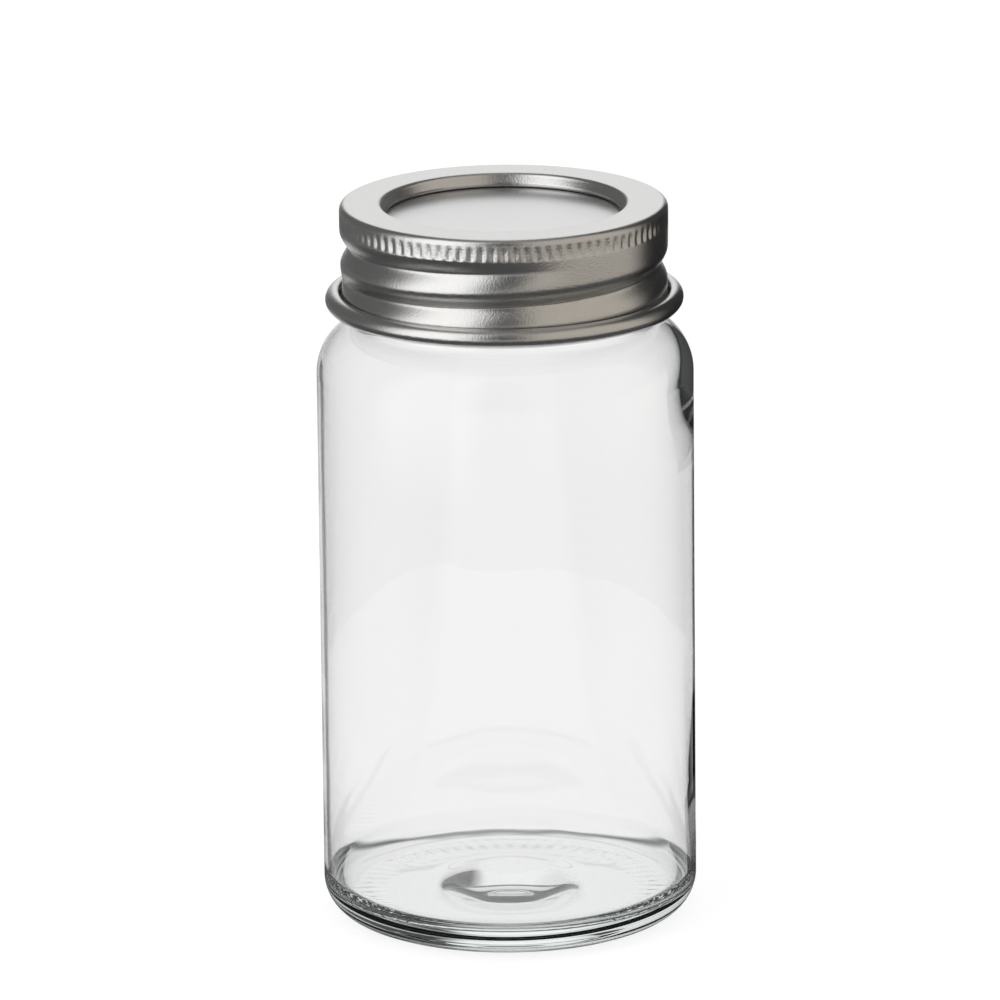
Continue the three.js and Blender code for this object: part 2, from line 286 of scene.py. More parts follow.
TURNED_INPUTS = {
    "Columns": "NodeSocketInt",
    "Closed": "NodeSocketInt",
    "Pitch": "NodeSocketFloat",
    "Thread height": "NodeSocketFloat",
    "Thread middle": "NodeSocketFloat",
    "Thread sweep": "NodeSocketFloat",
    "Thread fade": "NodeSocketFloat",
    "Thread width": "NodeSocketFloat",
    "Thread depth": "NodeSocketFloat",
    "Thread sharpness": "NodeSocketFloat",
    "Thread from": "NodeSocketFloat",
    "Flutes": "NodeSocketFloat",
    "Flute share": "NodeSocketFloat",
    "Flute depth": "NodeSocketFloat",
    "Flute foot": "NodeSocketFloat",
    "Flute top": "NodeSocketFloat",
    "Flute from": "NodeSocketFloat",
    "Ribs": "NodeSocketFloat",
    "Rib depth": "NodeSocketFloat",
    "Rib radius": "NodeSocketFloat",
    "Rib length": "NodeSocketFloat",
    "Rib top": "NodeSocketFloat",
    "Inside from": "NodeSocketFloat",
    "Thinning": "NodeSocketFloat",
    "Thickening": "NodeSocketFloat",
    "Heel thickening": "NodeSocketFloat",
    "Thin foot": "NodeSocketFloat",
    "Thin top": "NodeSocketFloat",
    "Finish": "NodeSocketMaterial",
}
# Distances over which threads, flutes and ribs fade, and below which points are welded
BLEND = 0.15 * MM
FLUTE_RUN_OUT = 0.4 * MM
FLUTE_RUN_IN = 1.7 * MM
WELD = 0.0005 * MM
# The uneven right side of the glass: its share of a turn, its fades and its lowest and highest places
THIN_SPREAD = 0.4
THIN_RUN_OUT = 9.0 * MM
SETTLE = 20.0 * MM
THICK_FOOT = 5.0 * MM
HALFWAY = 35.0 * MM
THICK_TOP = 88.0 * MM


def turned_tree():
    """A profile carried round the axis, pressed by a thread, flutes, ribs and an uneven inside."""
    tree = bpy.data.node_groups.new("turned_solid", "GeometryNodeTree")
    tree.interface.new_socket("Profile", in_out="INPUT", socket_type="NodeSocketGeometry")
    for name, kind in TURNED_INPUTS.items():
        tree.interface.new_socket(name, in_out="INPUT", socket_type=kind)
    tree.interface.new_socket("Solid", in_out="OUTPUT", socket_type="NodeSocketGeometry")
    graph = Graph(tree)
    given = graph.node("NodeGroupInput")

    def size(name):
        return Wire(graph, graph.socket(given.outputs, name))

    profile = size("Profile")
    points = graph.get("GeometryNodeAttributeDomainSize", "Point Count", {"Geometry": profile})
    rows = points + size("Closed")
    grid = graph.get(
        "GeometryNodeMeshGrid", "Mesh", {"Vertices X": size("Columns") + 1.0, "Vertices Y": rows}
    )
    index = graph.get("GeometryNodeInputIndex")
    turn = graph.math("FLOOR", index / rows) / size("Columns")
    place = graph.get(
        "GeometryNodeSampleIndex",
        "Value",
        {
            "Geometry": profile,
            "Value": graph.get("GeometryNodeInputPosition"),
            "Index": index % rows % points,
        },
        data_type="FLOAT_VECTOR",
        domain="POINT",
    )
    apart = graph.node("ShaderNodeSeparateXYZ", {"Vector": place})
    radius = Wire(graph, apart.outputs["X"])
    height = Wire(graph, apart.outputs["Z"])

    press = 0.0
    for whole in range(3):
        along = turn + whole - size("Thread middle")
        centre = size("Thread height") + size("Pitch") * along
        full = graph.smooth((size("Thread sweep") * 0.5 - abs(along)) / size("Thread fade"))
        away = abs(height - centre) / size("Thread width")
        rounded = graph.hump(away)
        shape = rounded + (graph.crease(away) - rounded) * size("Thread sharpness")
        press = press + full * shape
    threaded = graph.smooth((radius - size("Thread from")) / BLEND)
    press = graph.math("MINIMUM", press, 1.0) * size("Thread depth") * threaded

    flute = graph.hump(abs(turn * size("Flutes") % 1.0 - 0.5) / size("Flute share"))
    window = graph.smooth((height - size("Flute foot")) / FLUTE_RUN_OUT)
    window = window * graph.smooth((size("Flute top") - height) / FLUTE_RUN_IN)
    fluted = graph.smooth((radius - size("Flute from")) / BLEND) * window
    press = press + flute * fluted * size("Flute depth")

    hollow = graph.hump(abs(turn * size("Ribs") % 1.0 - 0.5))
    ribbed = graph.hump(abs(radius - size("Rib radius")) / size("Rib length"))
    ribbed = ribbed * graph.smooth((size("Rib top") - height) / BLEND)
    lift = hollow * ribbed * size("Rib depth")

    thin = graph.smooth((height - size("Thin foot")) / SETTLE)
    thin = thin * graph.smooth((size("Thin top") - height) / THIN_RUN_OUT)
    thick = graph.smooth((height - THICK_FOOT) / THIN_RUN_OUT)
    thick = thick * graph.smooth((THICK_TOP - height) / THIN_RUN_OUT) * (1.0 - thin)
    uneven = graph.hump((0.5 - abs(turn - 0.5)) / THIN_SPREAD)
    uneven = uneven * graph.math("GREATER_THAN", index % rows, size("Inside from"))
    upper = graph.smooth((height - HALFWAY) / SETTLE)
    added = size("Heel thickening") + (size("Thickening") - size("Heel thickening")) * upper
    press = press + uneven * (thick * added - thin * size("Thinning"))

    around = turn * TURN
    final = graph.get(
        "ShaderNodeCombineXYZ",
        "Vector",
        {
            "X": (radius - press) * graph.math("COSINE", around),
            "Y": (radius - press) * graph.math("SINE", around),
            "Z": height + lift,
        },
    )
    shaped = graph.get("GeometryNodeSetPosition", 0, {"Geometry": grid, "Position": final})
    joined = graph.get("GeometryNodeMergeByDistance", 0, {"Geometry": shaped, "Distance": WELD})
    shaded = graph.get("GeometryNodeSetShadeSmooth", 0, {"Geometry": joined})
    real = graph.get("GeometryNodeRealizeInstances", 0, {"Geometry": shaded})
    done = graph.get("GeometryNodeSetMaterial", 0, {"Geometry": real, "Material": size("Finish")})
    graph.node("NodeGroupOutput", {"Solid": done})
    return tree


def turn_face_out(mesh):
    shell = bmesh.new()
    shell.from_mesh(mesh)
    if shell.calc_volume(signed=True) < 0.0:
        bmesh.ops.reverse_faces(shell, faces=shell.faces)
    shell.to_mesh(mesh)
    shell.free()


def make_turned(name, profile, finish, closed, **sizes):
    """A named piece turned from a profile of (radius, height) points."""
    outline = bpy.data.meshes.new(name + "_profile")
    edges = [(i, i + 1) for i in range(len(profile) - 1)]
    outline.from_pydata([(r, 0.0, z) for r, z in profile], edges, [])
    piece = bpy.data.objects.new(name, outline)
    bpy.context.scene.collection.objects.link(piece)
    modifier = piece.modifiers.new("Turned", "NODES")
    modifier.node_group = bpy.data.node_groups.get("turned_solid") or turned_tree()
    sizes.update({"Finish": finish, "Closed": int(closed)})
    for item in modifier.node_group.interface.items_tree:
        if item.name in sizes:
            modifier[item.identifier] = sizes[item.name]
    bpy.context.view_layer.update()
    evaluated = piece.evaluated_get(bpy.context.evaluated_depsgraph_get())
    mesh = bpy.data.meshes.new_from_object(evaluated)
    piece.modifiers.clear()
    piece.data = mesh
    mesh.name = name
    bpy.data.meshes.remove(outline)
    turn_face_out(mesh)
    if len(mesh.polygons) == 0:
        raise RuntimeError(name + " came out empty")
    return piece


def arc(centre, radius, start, end, steps):
    """Points of an arc in the section plane; angles in degrees."""
    points = []
    for i in range(steps + 1):
        angle = math.radians(start + (end - start) * i / steps)
        points.append((centre[0] + radius * math.cos(angle), centre[1] + radius * math.sin(angle)))
    return points


def straight(start, end, steps, ease=0.12 * MM):
    """Inner points of a straight run, with one close to each end to keep the shading flat."""
    run = math.dist(start, end)
    shares = [ease / run] + [i / steps for i in range(1, steps)] + [1.0 - ease / run]
    return [(start[0] + (end[0] - start[0]) * t, start[1] + (end[1] - start[1]) * t) for t in shares]


def run_on(*stretches):
    """Joins stretches of profile with easy straight runs between them."""
    points = list(stretches[0])
    for stretch, steps in stretches[1:]:
        points += straight(points[-1], stretch[0], steps) + list(stretch)
    return points


def sheet_loop(path, thickness):
    """The closed outline of a sheet whose middle follows a path, with round ends."""
    normals = []
    for i in range(len(path)):
        before = path[max(0, i - 1)]
        after = path[min(len(path) - 1, i + 1)]
        along = Vector((after[0] - before[0], after[1] - before[1])).normalized()
        normals.append(Vector((-along.y, along.x)) * thickness * 0.5)
    left = [(p[0] + n.x, p[1] + n.y) for p, n in zip(path, normals)]
    right = [(p[0] - n.x, p[1] - n.y) for p, n in zip(path, normals)]

    def cap(point, normal, side):
        outwards = Vector((normal.y, -normal.x)) * side
        spread = [math.radians(a) for a in (45.0, 90.0, 135.0)]
        turned = [normal * math.cos(a) * side + outwards * math.sin(a) for a in spread]
        return [(point[0] + t.x, point[1] + t.y) for t in turned]

    end = cap(path[-1], normals[-1], 1.0)
    start = cap(path[0], normals[0], -1.0)
    return left + end + right[::-1] + start


DOME_STEPS = 20
BOSS_STEPS = 16


def glass_profile(glass):
    """The glass section, from under the base over the rim to the boss, and the count of outside points."""
    body = glass.body_radius
    inner_radius = body - glass.wall
    bearing = body - glass.heel
    hollow = bearing - glass.bearing_width
    shares = [i / DOME_STEPS for i in range(DOME_STEPS)]
    dome = [(hollow * share, glass.hollow * (1.0 - share ** 2)) for share in shares]
    stand = [(hollow + glass.bearing_width * t, 0.0) for t in (0.0, 0.15, 0.3, 0.45, 0.6, 0.75, 0.9)]
    heel = arc((bearing, glass.heel), glass.heel, -90.0, 0.0, 18)
    centre = (body - glass.shoulder, glass.shoulder_top - glass.shoulder)

    def tangent(wall_radius, fillet, shoulder):
        across = wall_radius + fillet - centre[0]
        up = math.sqrt((shoulder + fillet) ** 2 - across ** 2)
        return (wall_radius + fillet, centre[1] + up), math.degrees(math.atan2(up, across))

    neck_centre, neck_angle = tangent(glass.neck_radius, glass.neck_fillet, glass.shoulder)
    shoulder = arc(centre, glass.shoulder, 0.0, neck_angle, 16)
    shoulder += arc(neck_centre, glass.neck_fillet, neck_angle + 180.0, 180.0, 6)[1:]
    lip = glass.lip_round
    rim = arc((glass.neck_radius - lip, glass.rim_height - lip), lip, 0.0, 90.0, 6)
    land = arc((glass.bore_radius + lip, glass.rim_height - lip), lip, 90.0, 180.0, 6)
    inner = glass.shoulder - glass.wall
    bore_centre, bore_angle = tangent(glass.bore_radius, glass.bore_round, inner)
    bore = arc(bore_centre, glass.bore_round, 180.0, bore_angle + 180.0, 8)
    bore += arc(centre, inner, bore_angle, 0.0, 14)[1:]
    floor_radius = inner_radius - glass.inner_heel
    well = arc((floor_radius, glass.base + glass.inner_heel), glass.inner_heel, 0.0, -90.0, 16)
    boss = []
    for i in range(BOSS_STEPS + 1):
        rise = glass.boss_height * 0.5 * (1.0 - math.cos(math.pi * i / BOSS_STEPS))
        radius = glass.boss_radius + (glass.boss_top - glass.boss_radius) * i / BOSS_STEPS
        boss.append((radius, glass.base + rise))
    outside = run_on(dome + stand + heel, (shoulder, 12), (rim, 30), (land, 2))
    inside = run_on(outside, (bore, 4), (well, 40), (boss, 4), ([(0.0, boss[-1][1])], 2))
    return inside, len(outside)


HEM_DROP = 0.06 * MM
HEM_LENGTH = 0.3 * MM


def ring_profile(lid):
    """The steel ring's section: hem, collar, flange, knurled band, skirt and curl."""
    half = lid.sheet * 0.5
    top = lid.top - half
    collar = lid.recess_radius + half
    foot = collar - lid.recess_lean
    fold = lid.recess_round - half
    edge = lid.edge_round - half
    band = lid.band_radius - half
    skirt = lid.skirt_radius - half
    curl = lid.curl - half
    low = lid.top - lid.recess_depth + half - HEM_DROP
    curl_height = lid.bottom + lid.curl
    lean = math.degrees(math.atan2(lid.recess_lean, lid.recess_depth))
    hem = [(foot + lid.hem + HEM_LENGTH, low)]
    hem += arc((foot + lid.hem, low + lid.hem), lid.hem, 270.0, 180.0 - lean, 6)
    turned_down = arc((collar + fold, top - fold), fold, 180.0 - lean, 90.0, 7)
    shoulder = arc((band - edge, top - edge), edge, 90.0, 0.0, 8)
    skirt_top = lid.top - lid.flute_drop - lid.flute_length
    roll = arc((skirt + curl, curl_height), curl, 180.0, 180.0 + math.degrees(lid.curl_sweep), 18)
    path = run_on(hem, (turned_down, 2), (shoulder, 3), ([(band, skirt_top)], 7), (roll, 32))
    return sheet_loop(path, lid.sheet)


def disc_profile(lid):
    """The disc's section: flat panel, step, margin and turned-down lip."""
    half = lid.sheet * 0.5
    fold = lid.fold
    panel = lid.panel_height - half
    margin = DISC_HIGH.z - half
    step = lid.step_radius - half
    lip = DISC_HIGH.x - half
    inner = arc((step - fold, panel + fold), fold, -90.0, 0.0, 6)
    outer = arc((step + fold, margin - fold), fold, 180.0, 90.0, 6)
    turned_down = arc((lip - fold, margin - fold), fold, 90.0, 0.0, 6)
    path = run_on([(0.0, panel)], (inner, 4), (outer, 1), (turned_down, 2), ([(lip, SEAL_LOW.z)], 1))
    loop = sheet_loop(path, lid.sheet)
    return loop[:-3]


SEAL_SLIP = 0.25 * MM
SEAL_ROUND = 0.22 * MM


def seal_profile(lid):
    """The sealing ring's section: a flat back, a flat face and rounded edges."""
    inner = lid.step_radius + SEAL_SLIP
    outer = SEAL_HIGH.x
    low = SEAL_LOW.z
    high = SEAL_HIGH.z
    soft = SEAL_ROUND
    loop = arc((inner + soft, low + soft), soft, 180.0, 270.0, 4)
    loop += arc((outer - soft, low + soft), soft, 270.0, 360.0, 4)
    loop += arc((outer - soft, high - soft), soft, 0.0, 90.0, 4)
    loop += arc((inner + soft, high - soft), soft, 90.0, 180.0, 4)
    return loop


def new_material(name):
    material = bpy.data.materials.new(name)
    material.use_nodes = True
    graph = Graph(material.node_tree)
    place = graph.get("ShaderNodeTexCoord", "Object")
    return material, graph, place


def finish_material(graph, inputs, volume=None):
    surface = graph.get("ShaderNodeBsdfPrincipled", "BSDF", inputs)
    outputs = {"Surface": surface}
    if volume is not None:
        outputs["Volume"] = volume
    graph.node("ShaderNodeOutputMaterial", outputs)


def noise(graph, place, feature, detail=2.0):
    """Noise whose grains are about one feature size across."""
    inputs = {"Vector": place, "Scale": 1.0 / feature, "Detail": detail, "Roughness": 0.55}
    return graph.get("ShaderNodeTexNoise", 0, inputs)


def bump(graph, height, distance):
    return graph.get("ShaderNodeBump", "Normal", {"Strength": 1.0, "Distance": distance, "Height": height})


GLASS_WAVE = 14.0 * MM
GLASS_WAVE_DEPTH = 0.04 * MM
GLASS_INDEX = 1.52
GLASS_DENSITY = 5.0


def clear_glass(finishes):
    material, graph, place = new_material("clear_glass")
    waves = noise(graph, place, GLASS_WAVE, 1.0)
    depth = {"Color": (*finishes.glass_depth, 1.0), "Density": GLASS_DENSITY}
    volume = graph.get("ShaderNodeVolumeAbsorption", "Volume", depth)
    finish_material(
        graph,
        {
            "Base Color": (*finishes.glass, 1.0),
            "Roughness": 0.0,
            "IOR": GLASS_INDEX,
            "Transmission Weight": 1.0,
            "Normal": bump(graph, waves, GLASS_WAVE_DEPTH),
        },
        volume,
    )
    return material


SATIN_GRAIN = 0.28 * MM
SATIN_GRAIN_DEPTH = 0.03 * MM
SATIN_CLOUDS = 3.0 * MM
SATIN_GRAIN_SHARE = 0.8
SATIN_ROUGHNESS = 0.18
SATIN_ROUGHNESS_SPREAD = 0.12


def satin_steel(finishes):
    material, graph, place = new_material("satin_steel")
    grain = noise(graph, place, SATIN_GRAIN, 3.0)
    clouds = noise(graph, place, SATIN_CLOUDS)
    mixed = grain * SATIN_GRAIN_SHARE + clouds * (1.0 - SATIN_GRAIN_SHARE)
    shade = graph.mix(mixed, (*finishes.steel_dark, 1.0), (*finishes.steel_light, 1.0))
    finish_material(
        graph,
        {
            "Base Color": shade,
            "Metallic": 1.0,
            "Roughness": SATIN_ROUGHNESS + mixed * SATIN_ROUGHNESS_SPREAD,
            "Normal": bump(graph, grain, SATIN_GRAIN_DEPTH),
        },
    )
    return material


DISC_CLOUDS = 6.0 * MM
DISC_GRAIN = 0.2 * MM
DISC_GRAIN_DEPTH = 0.001 * MM
DISC_DULL = 0.94
DISC_ROUGHNESS = 0.19
DISC_ROUGHNESS_SPREAD = 0.05


def disc_steel(finishes):
    material, graph, place = new_material("disc_steel")
    clouds = noise(graph, place, DISC_CLOUDS)
    grain = noise(graph, place, DISC_GRAIN)
    dull = tuple(DISC_DULL * c for c in finishes.disc)
    shade = graph.mix(clouds, (*dull, 1.0), (*finishes.disc, 1.0))
    finish_material(
        graph,
        {
            "Base Color": shade,
            "Metallic": 1.0,
            "Roughness": DISC_ROUGHNESS + clouds * DISC_ROUGHNESS_SPREAD,
            "Normal": bump(graph, grain, DISC_GRAIN_DEPTH),
        },
    )
    return material


SEAL_SPECKLE = 0.5 * MM
SEAL_SPECKLE_DEPTH = 0.02 * MM
SEAL_DULL = 0.85
SEAL_ROUGHNESS = 0.55
SEAL_ROUGHNESS_SPREAD = 0.2


def seal_rubber(finishes):
    material, graph, place = new_material("seal_rubber")
    speckle = noise(graph, place, SEAL_SPECKLE, 3.0)
    dull = tuple(SEAL_DULL * c for c in finishes.seal)
    shade = graph.mix(speckle, (*dull, 1.0), (*finishes.seal, 1.0))
    finish_material(
        graph,
        {
            "Base Color": shade,
            "Roughness": SEAL_ROUGHNESS + speckle * SEAL_ROUGHNESS_SPREAD,
            "Normal": bump(graph, speckle, SEAL_SPECKLE_DEPTH),
        },
    )
    return material


def hand_over(piece, body, node):
    """Gives a finished piece to the frame in place of its plain solid."""
    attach(piece, body)
    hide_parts(node)


GLASS_THREAD_SWEEP = 390.0 / 360.0
GLASS_THREAD_FADE = 40.0 / 360.0
THREAD_SLIP = 0.25 * MM
THREAD_ROOT = 0.1 * MM
RIB_TOP = 1.5 * MM


def build_glass(scene):
    glass = scene.jar_glass
    lid = scene.jar_lid
    profile, outside_points = glass_profile(glass)
    sizes = {
        "Columns": glass.columns,
        "Pitch": lid.pitch,
        "Thread height": lid.thread_height + lid.pitch * 0.5 - THREAD_SLIP,
        "Thread middle": lid.thread_middle / TURN,
        "Thread sweep": GLASS_THREAD_SWEEP,
        "Thread fade": GLASS_THREAD_FADE,
        "Thread width": glass.thread_width,
        "Thread depth": -glass.thread_crest,
        "Thread from": glass.neck_radius - THREAD_ROOT,
        "Ribs": glass.ribs,
        "Rib depth": glass.rib_depth,
        "Rib radius": glass.rib_radius,
        "Rib length": glass.rib_length,
        "Rib top": RIB_TOP,
        "Inside from": outside_points,
        "Thinning": glass.thinning,
        "Thickening": glass.thickening,
        "Heel thickening": glass.heel_thickening,
        "Thin foot": glass.thin_foot,
        "Thin top": glass.thin_top,
        "Flute share": 1.0,
        "Flute from": 1.0,
    }
    finish = clear_glass(scene.jar_finishes)
    return make_turned("jar_glass", profile, finish, closed=False, **sizes)


class JAR_OT_glass(bpy.types.Operator):
    """Build the glass jar with its thread and its ribbed bearing ring"""

    bl_idname = "jar.glass"
    bl_label = "Glass Jar"

    def execute(self, context):
        hand_over(build_glass(context.scene), "jar", "glass_jar")
        return {"FINISHED"}


class JAR_OT_ring(bpy.types.Operator):
    """Build the knurled, threaded and curled steel ring"""

    bl_idname = "jar.ring"
    bl_label = "Screw Ring"

    def execute(self, context):
        lid = context.scene.jar_lid
        flute_top = lid.top - lid.flute_drop
        piece = make_turned(
            "lid_screw_ring",
            ring_profile(lid),
            satin_steel(context.scene.jar_finishes),
            closed=True,
            **{
                "Columns": lid.flutes * lid.columns_per_flute,
                "Pitch": lid.pitch,
                "Thread height": lid.thread_height,
                "Thread middle": lid.thread_middle / TURN,
                "Thread sweep": lid.thread_sweep / TURN,
                "Thread fade": lid.thread_fade / TURN,
                "Thread width": lid.thread_width,
                "Thread depth": lid.thread_depth,
                "Thread sharpness": lid.thread_sharpness,
                "Thread from": lid.recess_radius,
                "Flutes": lid.flutes,
                "Flute share": lid.flute_share,
                "Flute depth": lid.flute_depth,
                "Flute foot": flute_top - lid.flute_length,
                "Flute top": flute_top,
                "Flute from": lid.band_radius - lid.sheet * 0.5,
                "Rib length": 1.0,
            },
        )
        hand_over(piece, "lid_ring", "screw_ring")
        return {"FINISHED"}


# A turned piece without thread, flutes or ribs
PLAIN = {
    "Columns": 192,
    "Thread fade": 1.0,
    "Thread width": 1.0,
    "Thread from": 1.0,
    "Flute share": 1.0,
    "Flute from": 1.0,
    "Rib length": 1.0,
}


class JAR_OT_disc(bpy.types.Operator):
    """Build the loose steel disc"""

    bl_idname = "jar.disc"
    bl_label = "Lid Disc"

    def execute(self, context):
        profile = disc_profile(context.scene.jar_lid)
        finish = disc_steel(context.scene.jar_finishes)
        piece = make_turned("lid_disc_panel", profile, finish, closed=False, **PLAIN)
        hand_over(piece, "lid_seal", "lid_disc")
        return {"FINISHED"}


class JAR_OT_seal(bpy.types.Operator):
    """Build the soft sealing ring"""

    bl_idname = "jar.seal"
    bl_label = "Sealing Ring"

    def execute(self, context):
        profile = seal_profile(context.scene.jar_lid)
        finish = seal_rubber(context.scene.jar_finishes)
        piece = make_turned("lid_seal_ring", profile, finish, closed=True, **PLAIN)
        hand_over(piece, "lid_seal", "sealing_ring")
        return {"FINISHED"}


SENSOR_WIDTH = 36.0
CLIP_END = 20.0


def place_camera(studio):
    data = bpy.data.cameras.new("camera")
    data.lens = studio.focal
    data.sensor_width = SENSOR_WIDTH
    data.clip_end = CLIP_END
    camera = bpy.data.objects.new("camera", data)
    bpy.context.scene.collection.objects.link(camera)
    back = Vector((0.0, -math.cos(studio.elevation), math.sin(studio.elevation)))
    place = Vector((0.0, 0.0, studio.pivot_height)) + back * studio.distance
    aim = Vector((studio.aim_side, 0.0, studio.aim_height))
    look = (aim - place).to_track_quat("-Z", "Y").to_matrix().to_4x4()
    roll = Matrix.Rotation(-studio.roll, 4, "Z")
    camera.matrix_world = Matrix.Translation(place) @ look @ roll
    bpy.context.scene.camera = camera


def shades(*stops):
    """Stops of a ramp from places and shades; a plain number is a grey."""
    return tuple((place, shade if isinstance(shade, tuple) else (shade,) * 3) for place, shade in stops)


BRIGHT = (1.4, 1.4, 1.39)
WARM = (0.56, 0.52, 0.46)
# Shades round the horizon, from behind the jar by way of its left, its front and its right to behind again
MIRRORED_LOW = shades(
    (0.0, 0.95),
    (0.02, 0.9),
    (0.045, 0.2),
    (0.06, 0.15),
    (0.25, 0.15),
    (0.31, BRIGHT),
    (0.425, BRIGHT),
    (0.466, 0.3),
    (0.522, 0.3),
    (0.55, WARM),
    (0.775, WARM),
    (0.81, 0.06),
    (0.95, 0.15),
    (0.985, 0.95),
    (1.0, 0.95),
)
MIRRORED_HIGH = shades(
    (0.0, 1.0),
    (0.02, 0.95),
    (0.045, 0.2),
    (0.06, 0.12),
    (0.25, 0.12),
    (0.31, BRIGHT),
    (0.425, BRIGHT),
    (0.466, 0.06),
    (0.522, 0.06),
    (0.55, WARM),
    (0.775, WARM),
    (0.81, 0.06),
    (0.95, 0.15),
    (0.985, 0.95),
    (1.0, 1.0),
)
NEAR_FLOOR = shades(
    (0.0, 0.95),
    (0.04, 0.9),
    (0.065, 0.65),
    (0.1, 0.5),
    (0.14, 0.08),
    (0.86, 0.08),
    (0.89, 0.5),
    (0.935, 0.55),
    (0.96, 0.75),
    (1.0, 0.95),
)
THROUGH_LOW = shades(
    (0.0, 0.955),
    (0.03, 0.99),
    (0.042, 0.95),
    (0.055, 0.7),
    (0.058, 0.03),
    (0.077, 0.03),
    (0.085, 0.88),
    (0.22, 0.9),
    (0.34, 0.5),
    (0.66, 0.5),
    (0.78, 0.85),
    (0.93, 0.85),
    (0.96, 0.95),
    (1.0, 0.955),
)
THROUGH_HIGH = shades(
    (0.0, 1.0),
    (0.03, 1.0),
    (0.042, 0.95),
    (0.055, 0.7),
    (0.058, 0.03),
    (0.077, 0.03),
    (0.085, 0.88),
    (0.22, 0.9),
    (0.34, 0.5),
    (0.66, 0.5),
    (0.8, 0.4),
    (0.84, 0.04),
    (0.95, 0.04),
    (0.97, 0.97),
    (1.0, 1.0),
)
# The dark card at the left: the stops of the ramps between these places
CARD_START = 0.05
CARD_END = 0.08
# Light turned back no more than once inside the wall has made fewer bounces than this
ONCE_TURNED = 3.5
# Light that has run on inside the glass: its bounces, a few more where they are spared, and its shade
RUN_ON_BOUNCES = 5.5
RUN_ON_SPARE = 3.0
RUN_ON_LEVEL = 0.2
RUN_ON_FAR = 150.0 * MM
RUN_ON_NEAR = 50.0 * MM
RUN_ON_EDGE = 3.0 * MM
RUN_ON_SHADE = (0.085, 0.088, 0.088, 1.0)
# Surroundings: the blend at the horizon, the top of the cards and what is above them
LEVEL_BLEND = 0.2
CARD_TOP = 0.78
CARD_TOP_BLEND = 0.2
OVERHEAD = (0.24, 0.24, 0.24)
GLASS_OVERHEAD = (0.8, 0.8, 0.8)
SOFT_LIGHT = 1.1
# Floor
FLOOR_GAP = 0.02 * MM
FLOOR_SIDES = 96
FLOOR_MATTE = (0.9, 0.9, 0.9, 1.0)
FLOOR_GLOW = 0.45
CAMERA_GLOW = 0.8
CAMERA_LIFT = 0.06
FAR_START = 250.0 * MM
FAR_BLEND = 80.0 * MM
UNDER_JAR = (0.84, 0.84, 0.845)
CONTACT_SHADE = (0.05, 0.06, 0.06, 1.0)
# Shade under the front of the heel
HEEL_PLACE = 24.6 * MM
HEEL_WIDTH = 4.6 * MM
HEEL_SHADE = 0.95
HEEL_FADE = 6.0 * MM
# Dark strip behind the jar, seen through the glass only
STRIP_PLACE = 25.5 * MM
STRIP_EDGE = 2.0 * MM
STRIP_WIDTH = 4.4 * MM
STRIP_SHADE = 0.85
STRIP_REACH = 36.0 * MM
STRIP_FADE = 6.0 * MM
STRIP_WAVE = 3.0 * MM
STRIP_WAVE_LENGTH = 9.0 * MM
STRIP_ARCH = 0.012 / MM
WHITE = (1.0, 1.0, 1.0, 1.0)


def ray_kinds(graph):
    """1 for rays straight from the camera, for rays off a mirror and for rays out of glass."""
    rays = graph.node("ShaderNodeLightPath")
    kinds = ("Is Camera Ray", "Is Glossy Ray", "Is Transmission Ray")
    return [Wire(graph, rays.outputs[kind]) for kind in kinds]


def darken_run_on(graph, shade, spare, share=1.0):
    """Turns a shade dark for light that has run on inside the glass; spare allows a few bounces more."""
    bounces = graph.get("ShaderNodeLightPath", "Ray Depth") - spare * RUN_ON_SPARE
    run_on = graph.math("GREATER_THAN", bounces, RUN_ON_BOUNCES) * share
    return graph.mix(run_on, shade, RUN_ON_SHADE)


def ramp(graph, position, stops):
    return graph.get("ShaderNodeValToRGB", "Color", {"Fac": position}, stops=stops)


def seen_through(graph, around, stops):
    """Shades seen through glass; only light turned back once in the wall sees the dark card at the left."""
    bounces = graph.get("ShaderNodeLightPath", "Ray Depth")
    plain = tuple(stop for stop in stops if not CARD_START < stop[0] < CARD_END)
    once = graph.math("LESS_THAN", bounces, ONCE_TURNED)
    return graph.mix(once, ramp(graph, around, plain), ramp(graph, around, stops))


def around_from_back(graph, x, y, turn_in=0.0):
    """Place on the ring of shades: 0 and 1 behind the jar, 0.5 in front; turned in towards the back."""
    half = graph.math("ARCTAN2", x, -1.0 * y) / TURN
    from_back = graph.math("MAXIMUM", 0.5 - abs(half) - turn_in, 0.0)
    return 0.5 + graph.math("SIGN", half) * (0.5 - from_back)


